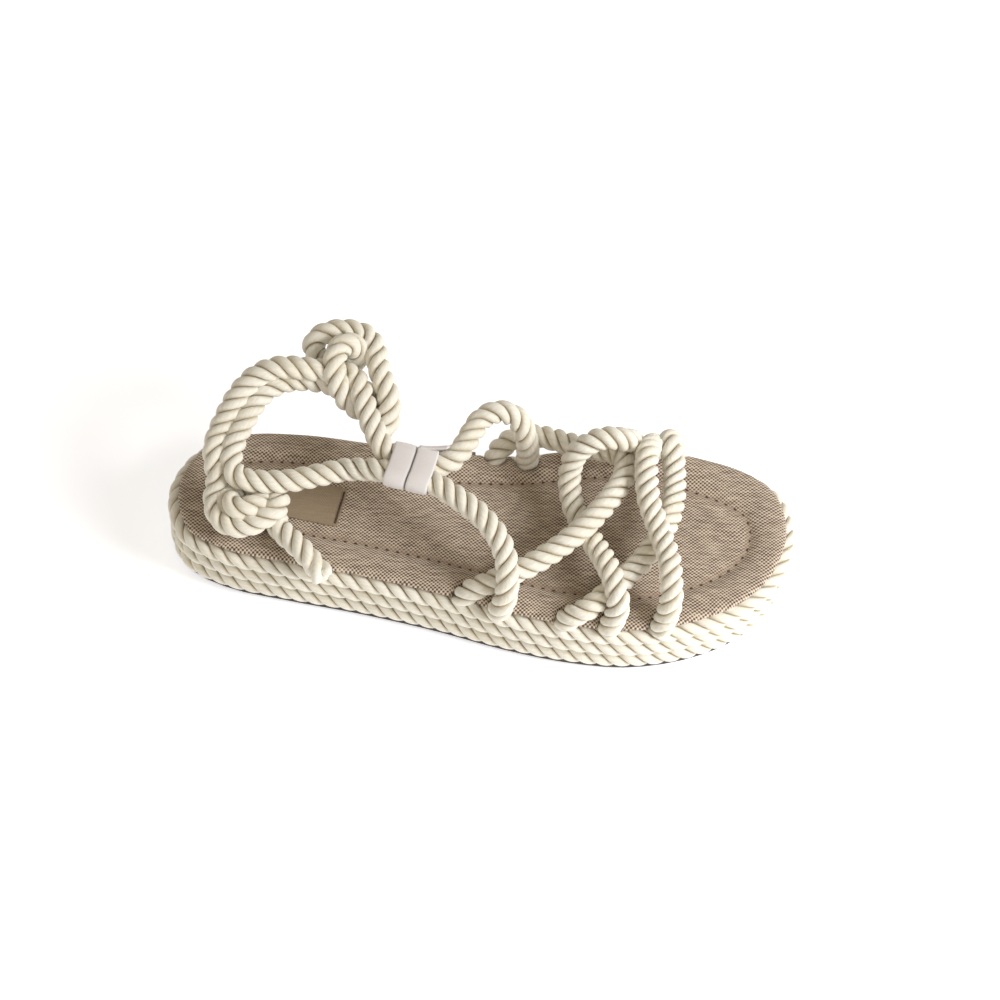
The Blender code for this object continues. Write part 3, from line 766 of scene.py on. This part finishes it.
def rope_notches():
    """How far in the rim stands at each point of the edge, so that it clears the rope ends.

    Beside an end it is the end's own inset plus a circle of FOOT_R, and it falls off steeply.
    """
    need = np.full(EDGE_POINTS, NO_NOTCH)
    for name in FOREFOOT:
        path = paths[name]
        half = len(path) // 2
        for end in [path[half:]] + ([path[:half]] if name in ANCHORED_BOTH_ENDS else []):
            foot = end[np.abs(end[:, 2] - FOOT_Z).argmin()][:2]
            nearest = np.linalg.norm(EDGE - foot, axis=1).argmin()
            inset = (EDGE[nearest] - foot) @ EDGE_OUT[nearest]
            beside = np.linalg.norm(EDGE - EDGE[nearest], axis=1)
            round_it = np.sqrt(np.clip(FOOT_R ** 2 - beside ** 2, 0, None))
            fall = NOTCH_SLOPE * np.clip(beside - FOOT_R, 0, None)
            need = np.maximum(need, inset + round_it - fall)
    return need


def eased(share):
    """A share from 0 to 1 with a soft start and end: three squares less two cubes."""
    share = np.clip(share, 0, 1)
    return share * share * (3 - 2 * share)


NOTCHES = rope_notches()
TOWARDS_TOE = eased((EDGE[:, 0] - TOE_FROM) / TOE_OVER)
TOWARDS_MEDIAL = np.clip((EDGE[:, 1] + 15.0) / 40.0, 0, 1)
RIM_SHIFT = RIM_SHIFT_MOST * EDGE_OUT[:, 0] ** 2
SEAM_SHIFT = TOWARDS_TOE * (0.8 + 3.2 * TOWARDS_MEDIAL)


def pad_ring(inset, z):
    """The edge moved in, more at the heel, the toe and the rope ends, and rounded there."""
    seam_share = eased((inset - SEAM_SHIFT_FROM) / (SEAM_INSET - SEAM_SHIFT_FROM))
    rim_share = 1 - eased((inset - RIM_SHIFT_FROM) / RIM_SHIFT_OVER)
    moved = inset + SEAM_SHIFT * seam_share
    moved += RIM_SHIFT * rim_share
    moved = np.maximum(moved, NOTCHES)
    flat = EDGE - EDGE_OUT * moved[:, None]
    drop = DIMPLE_DEPTH * np.exp(-((moved - NOTCHES) / DIMPLE_WIDTH) ** 2) * (z > DIMPLE_FROM_Z)
    return np.column_stack([flat, z - drop + spring(flat[:, 0])])


CHANNEL_OFFSET = 0.6
CHANNEL_WIDTH = 1.5
CHANNEL_FROM_Z = 30.8
section = smooth_curve(PAD_SECTION, PAD_STEP)
rings = np.concatenate([pad_ring(inset, z) for inset, z in section])
top_start = (len(section) - 1) * EDGE_POINTS
top_grid = middle_grid(rings[top_start:], PAD_RISE).reshape(-1, 3)
low_grid = middle_grid(rings[:EDGE_POINTS], 0.0).reshape(-1, 3)
pad_points = np.vstack([rings, top_grid, low_grid])
pad_faces = grid_faces(len(section), EDGE_POINTS)
pad_faces += middle_faces(top_start, len(rings), True)
pad_faces += middle_faces(0, len(rings) + len(top_grid), False)
from_seam = np.abs(np.repeat(section[:, 0], EDGE_POINTS) - SEAM_INSET - CHANNEL_OFFSET)
on_top = np.repeat(section[:, 1] > CHANNEL_FROM_Z, EDGE_POINTS)
channel = np.exp(-(from_seam / CHANNEL_WIDTH) ** 2) * on_top
channel = np.concatenate([channel, np.zeros(len(top_grid) + len(low_grid))])
print("footbed:", len(pad_points), "points, section of", len(section), "steps")

# %% [markdown]
# ## Woven linen
# The cover is a coarse plain weave of dark and light yarns. Seen from above it is a field of
# light flecks in slanting rows over dark gaps. The product of two sine waves, one along each
# set of yarns, is high on one set of squares of a chequer board and low on the other, and
# that is the weave. The yarns are about 0.8 mm apart, a little more one way than the other. A
# slow noise bends the rows and a streaky one changes their strength, since linen yarn is
# never quite even. Where the pad is sewn down, the weave is pulled to a plain tone.

# %% Linen finish
YARN_PITCH = 0.80
YARN_UNEVEN = 0.08
WAVES_PER_METRE = 45.0
SLUBS_PER_METRE = (160.0, 900.0, 300.0)
FLAT_IN_CHANNEL = 0.7


def woven_linen(name, light, dark, plain, pitch, drift):
    """A plain weave: two sine waves of the yarn pitch multiplied, and bent by up to drift."""
    finish, shader = new_finish(name, 0.92, sheen=0.15)
    place = add_node(finish, "ShaderNodeTexCoord").outputs["Object"]
    waver = add_node(finish, "ShaderNodeTexNoise", {
        "Vector": place, "Scale": WAVES_PER_METRE, "Detail": 1.0,
    }).outputs["Color"]
    moved = add_node(finish, "ShaderNodeVectorMath", {
        0: waver, 1: (drift * MM,) * 3, 2: place,
    }, operation="MULTIPLY_ADD").outputs[0]
    sides = add_node(finish, "ShaderNodeSeparateXYZ", {0: moved})
    waves = []
    for axis, apart in ((0, pitch * (1 + YARN_UNEVEN)), (1, pitch * (1 - YARN_UNEVEN))):
        turn = add_node(finish, "ShaderNodeMath", {
            0: sides.outputs[axis], 1: math.pi / (apart * MM),
        }, operation="MULTIPLY").outputs[0]
        waves.append(add_node(finish, "ShaderNodeMath", {0: turn}, operation="SINE").outputs[0])
    weave = add_node(finish, "ShaderNodeMath", {
        0: waves[0], 1: waves[1],
    }, operation="MULTIPLY").outputs[0]
    streaks = add_node(finish, "ShaderNodeMapping", {
        "Vector": moved, "Scale": SLUBS_PER_METRE,
    }).outputs["Vector"]
    slub = add_node(finish, "ShaderNodeTexNoise", {
        "Vector": streaks, "Scale": 1.0, "Detail": 2.0,
    }).outputs["Fac"]
    lifted = add_node(finish, "ShaderNodeMath", {
        0: slub, 1: 1.5, 2: -0.75,
    }, operation="MULTIPLY_ADD").outputs[0]
    height = add_node(finish, "ShaderNodeMath", {0: weave, 1: lifted}, operation="ADD").outputs[0]
    fleck = add_node(finish, "ShaderNodeMapRange", {
        "Value": height, "From Min": -0.75, "From Max": 0.70,
    }, interpolation_type="SMOOTHSTEP").outputs["Result"]
    woven = add_node(finish, "ShaderNodeMix", {
        0: fleck, 6: linear(dark), 7: linear(light),
    }, data_type="RGBA").outputs[2]
    pressed = add_node(finish, "ShaderNodeAttribute", attribute_name="channel").outputs["Fac"]
    flat = add_node(finish, "ShaderNodeMath", {
        0: pressed, 1: FLAT_IN_CHANNEL,
    }, operation="MULTIPLY").outputs[0]
    colour = add_node(finish, "ShaderNodeMix", {
        0: flat, 6: woven, 7: linear(plain),
    }, data_type="RGBA").outputs[2]
    relief = add_node(finish, "ShaderNodeBump", {
        "Strength": 0.6, "Distance": 0.25 * MM, "Height": height,
    }).outputs["Normal"]
    return wear(finish, shader, colour, relief)


LINEN = woven_linen("woven_linen", "#E2D1BE", "#523E31", "#A28D7A", YARN_PITCH, 3.2)
pad_part = {"points": pad_points, "faces": pad_faces}
footbed = piece("padded_footbed", [pad_part], LINEN, "woven_insole", "insole")
channel_field = footbed.data.attributes.new("channel", "FLOAT", "POINT")
channel_field.data.foreach_set("value", channel.astype(np.float32))

# %% [markdown]
# ## The sewn line
# Dark thread holds the linen down in the channel. A machine stitch is a short bar with round
# ends that dips into the cloth at both of them. One small bar is worked out, and it is placed
# along the channel every 4.4 mm.

# %% Stitches
STITCH_PITCH = 4.4
STITCH_LENGTH = 1.3
STITCH_DIP = 0.35
THREAD_R = 0.42
THREAD_LIFT = 0.15
THREAD_POINTS = 6


def stitch(start, end, dip):
    """A thread from start to end: half a sine wave whose ends go down by `dip`."""
    share = np.linspace(0, 1, THREAD_POINTS)[:, None]
    path = start + (end - start) * share
    path[:, 2] += (np.sin(share[:, 0] * math.pi) - 1) * dip + THREAD_LIFT
    radii = THREAD_R * np.sqrt(np.clip(1 - (2 * share[:, 0] - 1) ** 4, 0.1, 1))
    around = np.linspace(0, 2 * math.pi, THREAD_POINTS, endpoint=False)
    return sweep(path, radii, around, np.ones(THREAD_POINTS))


def stitch_row(line, pitch, length, dip):
    """Stitches of that length along a line of points, one for each pitch."""
    starts = np.arange(0.0, run_of(line)[-1] - pitch / 2, pitch)
    both_ends = zip(points_at(line, starts), points_at(line, starts + length))
    return [stitch(start, end, dip) for start, end in both_ends]


thread, thread_shader = new_finish("waxed_thread", 0.6)
thread_place = add_node(thread, "ShaderNodeTexCoord").outputs["Object"]
ply = add_node(thread, "ShaderNodeTexNoise", {
    "Vector": thread_place, "Scale": 1500.0,
}).outputs["Fac"]
thread_colour = add_node(thread, "ShaderNodeMix", {
    0: ply, 6: linear("#2E241D"), 7: linear("#5A4A3D"),
}, data_type="RGBA").outputs[2]
thread_relief = add_node(thread, "ShaderNodeBump", {
    "Strength": 0.4, "Distance": 0.1 * MM, "Height": ply,
}).outputs["Normal"]
wear(thread, thread_shader, thread_colour, thread_relief)
seam_line = pad_ring(SEAM_INSET, SEAM_Z)
seam_line = np.vstack([seam_line, seam_line[:1]])
seam = stitch_row(seam_line, STITCH_PITCH, STITCH_LENGTH, STITCH_DIP)
piece("footbed_stitches", seam, thread, "woven_insole")

# %% [markdown]
# ## The suede binding
# Over the instep a strip of thin suede is wound twice round both ropes and glued. The two
# turns are a flat tube with an oval section. Each turn is a little crowned, and between them
# is the edge of the strip, a dark line. The section is carried along the binding as the ropes
# run, with its radius as a function of the distance. The strip's free end comes out from
# under the turns on the toe side, as a short tongue that lifts off the medial rope.

# %% Binding
BAND_WALL = 1.4
BAND_INNER = ROPE_R + GAP
BAND_AROUND = 48
BAND_RINGS = 20
BAND_SUNK = 0.45
BAND_CROWN = 0.35
BAND_SEAM_DEPTH = 0.55
BAND_SEAM_WIDTH = 0.35
BAND_EDGE_DROP = 0.3
BAND_INSIDE_TONE = 0.4
BAND_BOW = 1.1
BAND_HALF_WIDTH = 9.8
BAND_RUN = ROPE_RUN / np.linalg.norm(ROPE_RUN)
BAND_ASIDE = ROPE_ASIDE / np.linalg.norm(ROPE_ASIDE)
BAND_AXES = (BAND_RUN, BAND_ASIDE, np.cross(BAND_RUN, BAND_ASIDE))
TONGUE_START = 1.5
TONGUE_PAST = 3.8
TONGUE_THICK = 1.1
TONGUE_LIFT = 2.7
TONGUE_SUNK = 0.8
TONGUE_FROM = 8.0
TONGUE_TO = 60.0
TONGUE_RINGS = 16
TONGUE_ACROSS = 12


def band_tube():
    """The two turns: a closed tube round both ropes.

    Its section is two half circles a rope's spacing apart. Their radius grows and falls as
    half a sine wave along each turn, and dips where the turns meet. On the upper side the
    middle of each ring bows towards the toe.
    """
    run, aside, up = BAND_AXES
    turned = np.linspace(-90, 90, BAND_AROUND // 2)
    angles = np.radians(np.concatenate([turned, turned + 180]))
    shift = np.repeat((1, -1), BAND_AROUND // 2) * ROPE_SPACING / 2
    half = BAND_LENGTH / 2
    reach = np.concatenate([
        np.linspace(-half, -0.9, BAND_RINGS), (-0.45, -0.2, 0.0, 0.2),
        np.linspace(0.5, half, BAND_RINGS),
    ])
    turn_share = np.where(reach < 0, (reach + half) / half, reach / half)
    crown = BAND_CROWN * np.sin(np.clip(turn_share, 0, 1) * math.pi) ** 0.7
    meeting = np.exp(-(reach / BAND_SEAM_WIDTH) ** 2)
    outer = BAND_INNER + BAND_WALL - BAND_SUNK + crown - BAND_SEAM_DEPTH * meeting
    outer[0] -= BAND_EDGE_DROP
    outer[-1] -= BAND_EDGE_DROP
    inner = [(half, BAND_INNER, BAND_INSIDE_TONE), (-half, BAND_INNER, BAND_INSIDE_TONE)]
    levels = np.concatenate([np.column_stack([reach, outer, meeting]), inner])
    points, dark = [], []
    for at, radius, line in levels:
        flat = shift + radius * np.cos(angles)
        high = radius * np.sin(angles)
        bow = BAND_BOW * (1 - (flat / BAND_HALF_WIDTH) ** 2) * (high > 0)
        across_band = flat[:, None] * aside
        points.append(BAND_MIDDLE + (at + bow)[:, None] * run + across_band + high[:, None] * up)
        dark.append(np.full(BAND_AROUND, line))
    faces = grid_faces(len(levels), BAND_AROUND)
    last = (len(levels) - 1) * BAND_AROUND
    for j in range(BAND_AROUND):
        following = (j + 1) % BAND_AROUND
        faces.append((last + j, last + following, following, j))
    return {"points": np.vstack(points), "groove": np.concatenate(dark), "faces": faces}


def strip_end():
    """The strip's free end: part of a thin tube round the medial rope.

    Its outer and inner sides are one thickness apart. Its radius grows with the distance to
    the power 1.5, so it widens as it leaves the turns.
    """
    run, aside, up = BAND_AXES
    around = 2 * TONGUE_ACROSS
    reach = np.linspace(TONGUE_START, BAND_LENGTH / 2 + TONGUE_PAST, TONGUE_RINGS)[:, None]
    share = (reach - reach[0]) / (reach[-1] - reach[0])
    arc = np.radians(np.linspace(TONGUE_FROM, TONGUE_TO, TONGUE_ACROSS))
    angles = np.concatenate([arc, arc[::-1]])
    wall = np.repeat((TONGUE_THICK, 0.0), TONGUE_ACROSS)
    radius = BAND_INNER + BAND_WALL - TONGUE_SUNK + TONGUE_LIFT * share ** 1.5 + wall
    flat = ROPE_SPACING / 2 + radius * np.cos(angles)
    high = radius * np.sin(angles)
    across_strip = flat[..., None] * aside
    points = BAND_MIDDLE + reach[..., None] * run + across_strip + high[..., None] * up
    faces = grid_faces(TONGUE_RINGS, around)
    last = (TONGUE_RINGS - 1) * around
    end = [(j, j + 1, around - 2 - j, around - 1 - j) for j in range(TONGUE_ACROSS - 1)]
    faces += [tuple(last + k for k in face) for face in end]
    faces += [face[::-1] for face in end]
    return {
        "points": points.reshape(-1, 3),
        "groove": np.zeros(TONGUE_RINGS * around),
        "faces": faces,
    }


# %% [markdown]
# ## Suede
# Brushed suede is quite matt with a soft sheen at grazing angles. Its nap gives a faint,
# cloudy change of tone and a very fine grain. The cut edge between the turns is much darker.

# %% Suede finish
suede, suede_shader = new_finish("brushed_suede", 0.95, sheen=0.4)
suede_place = add_node(suede, "ShaderNodeTexCoord").outputs["Object"]
nap, cloud = [add_node(suede, "ShaderNodeTexNoise", {
    "Vector": suede_place, "Scale": scale, "Detail": detail,
}).outputs["Fac"] for scale, detail in ((1400.0, 3.0), (160.0, 2.0))]
edge_line = add_node(suede, "ShaderNodeAttribute", attribute_name="groove").outputs["Fac"]
suede_colour = add_node(suede, "ShaderNodeMix", {
    0: cloud, 6: linear("#E6E1E3"), 7: linear("#F1EFEF"),
}, data_type="RGBA").outputs[2]
nap_shade = add_node(suede, "ShaderNodeMath", {0: nap, 1: 0.35}, operation="MULTIPLY").outputs[0]
suede_colour = add_node(suede, "ShaderNodeMix", {
    0: nap_shade, 6: suede_colour, 7: linear("#D6D1D4"),
}, data_type="RGBA").outputs[2]
suede_colour = add_node(suede, "ShaderNodeMix", {
    0: edge_line, 6: suede_colour, 7: linear("#4E4A4E"),
}, data_type="RGBA").outputs[2]
suede_relief = add_node(suede, "ShaderNodeBump", {
    "Strength": 0.4, "Distance": 0.12 * MM, "Height": nap,
}).outputs["Normal"]
wear(suede, suede_shader, suede_colour, suede_relief)
piece("suede_binding", [band_tube(), strip_end()], suede, "band_fabric", "binding_band")

# %% [markdown]
# ## Rubber, tape and label
# Three solids already have the right shape and only need a finish. The outsole is dull moulded
# rubber, nearly black, with fine dust and a shallow tread drawn on its underside. The tape
# over the joint of the rope rows and the label are plain woven, so both take the linen's
# recipe with finer yarns. The label is left blank.

# %% Finishes of the kept solids
TREAD_PITCH = 7.0
TREAD_TOP_Z = 0.2
TREAD_END_Z = 0.4
TAPE_PITCH = 0.6
LABEL_PITCH = 0.35


def moulded_rubber():
    """Near black rubber: fine grain, dust in clouds, and ribs that cross on its underside."""
    finish, shader = new_finish("moulded_rubber", 0.7)
    place = add_node(finish, "ShaderNodeTexCoord").outputs["Object"]
    sides = add_node(finish, "ShaderNodeSeparateXYZ", {0: place})
    grain, dust = [add_node(finish, "ShaderNodeTexNoise", {
        "Vector": place, "Scale": scale, "Detail": 3.0,
    }).outputs["Fac"] for scale in (900.0, 60.0)]
    colour = add_node(finish, "ShaderNodeMix", {
        0: dust, 6: linear("#241F1C"), 7: linear("#4A423C"),
    }, data_type="RGBA").outputs[2]
    slanted = []
    for sign in (1.0, -1.0):
        line = add_node(finish, "ShaderNodeMath", {
            0: sides.outputs[1], 1: sign, 2: sides.outputs[0],
        }, operation="MULTIPLY_ADD").outputs[0]
        turn = add_node(finish, "ShaderNodeMath", {
            0: line, 1: 2 * math.pi / (TREAD_PITCH * MM),
        }, operation="MULTIPLY").outputs[0]
        slanted.append(add_node(finish, "ShaderNodeMath", {0: turn}, operation="SINE").outputs[0])
    ribs = add_node(finish, "ShaderNodeMath", {
        0: slanted[0], 1: slanted[1],
    }, operation="MAXIMUM").outputs[0]
    under = add_node(finish, "ShaderNodeMapRange", {
        "Value": sides.outputs[2], "From Min": TREAD_TOP_Z * MM, "From Max": TREAD_END_Z * MM,
        "To Min": 1.0, "To Max": 0.0,
    }).outputs["Result"]
    tread = add_node(finish, "ShaderNodeMath", {
        0: ribs, 1: under,
    }, operation="MULTIPLY").outputs[0]
    height = add_node(finish, "ShaderNodeMath", {
        0: grain, 1: 0.25, 2: tread,
    }, operation="MULTIPLY_ADD").outputs[0]
    relief = add_node(finish, "ShaderNodeBump", {
        "Strength": 0.7, "Distance": 0.5 * MM, "Height": height,
    }).outputs["Normal"]
    return wear(finish, shader, colour, relief)


TAPE_WEAVE = woven_linen("woven_cotton_tape", "#A3968A", "#6A5E54", "#8A7D71", TAPE_PITCH, 0.5)
LABEL_WEAVE = woven_linen(
    "plain_label_weave", "#B09C83", "#97846D", "#A08C74", LABEL_PITCH, 0.3,
)
for node, finish in (
    ("sole", moulded_rubber()),
    ("side_tape", TAPE_WEAVE),
    ("sock_label", LABEL_WEAVE),
):
    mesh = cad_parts[node].data
    mesh.materials.clear()
    mesh.materials.append(finish)
    print(node, "wears", finish.name)

# %% [markdown]
# ## The label's edge
# The label is sewn down along the end nearer the toe, with dark thread. Its stitches are a
# little longer than their pitch, so they run into one another, as a dense machine seam does.

# %% Label stitches
LABEL_MIDDLE = np.array((-75.3, 0.0))
LABEL_TURN = math.radians(-8.0)
LABEL_HALF_LENGTH = 18.0
LABEL_HALF_WIDTH = 9.5
LABEL_TOP = 32.6
LABEL_MARGIN = 1.2
LABEL_SEAM_IN = 1.1
LABEL_SEAM_POINTS = 20
LABEL_STITCH_PITCH = 1.6
LABEL_STITCH_LENGTH = 1.75
LABEL_STITCH_DIP = 0.1

turned_x = np.array((math.cos(LABEL_TURN), math.sin(LABEL_TURN)))
turned_y = np.array((-math.sin(LABEL_TURN), math.cos(LABEL_TURN)))
edge_half = LABEL_HALF_WIDTH - LABEL_MARGIN
edge_reach = np.linspace(-edge_half, edge_half, LABEL_SEAM_POINTS)
edge_middle = LABEL_MIDDLE + turned_x * (LABEL_HALF_LENGTH - LABEL_SEAM_IN)
edge_line = edge_middle + edge_reach[:, None] * turned_y
label_line = np.column_stack([edge_line, np.full(LABEL_SEAM_POINTS, LABEL_TOP)])
label_seam = stitch_row(label_line, LABEL_STITCH_PITCH, LABEL_STITCH_LENGTH, LABEL_STITCH_DIP)
piece("label_stitches", label_seam, thread, "label_fabric")
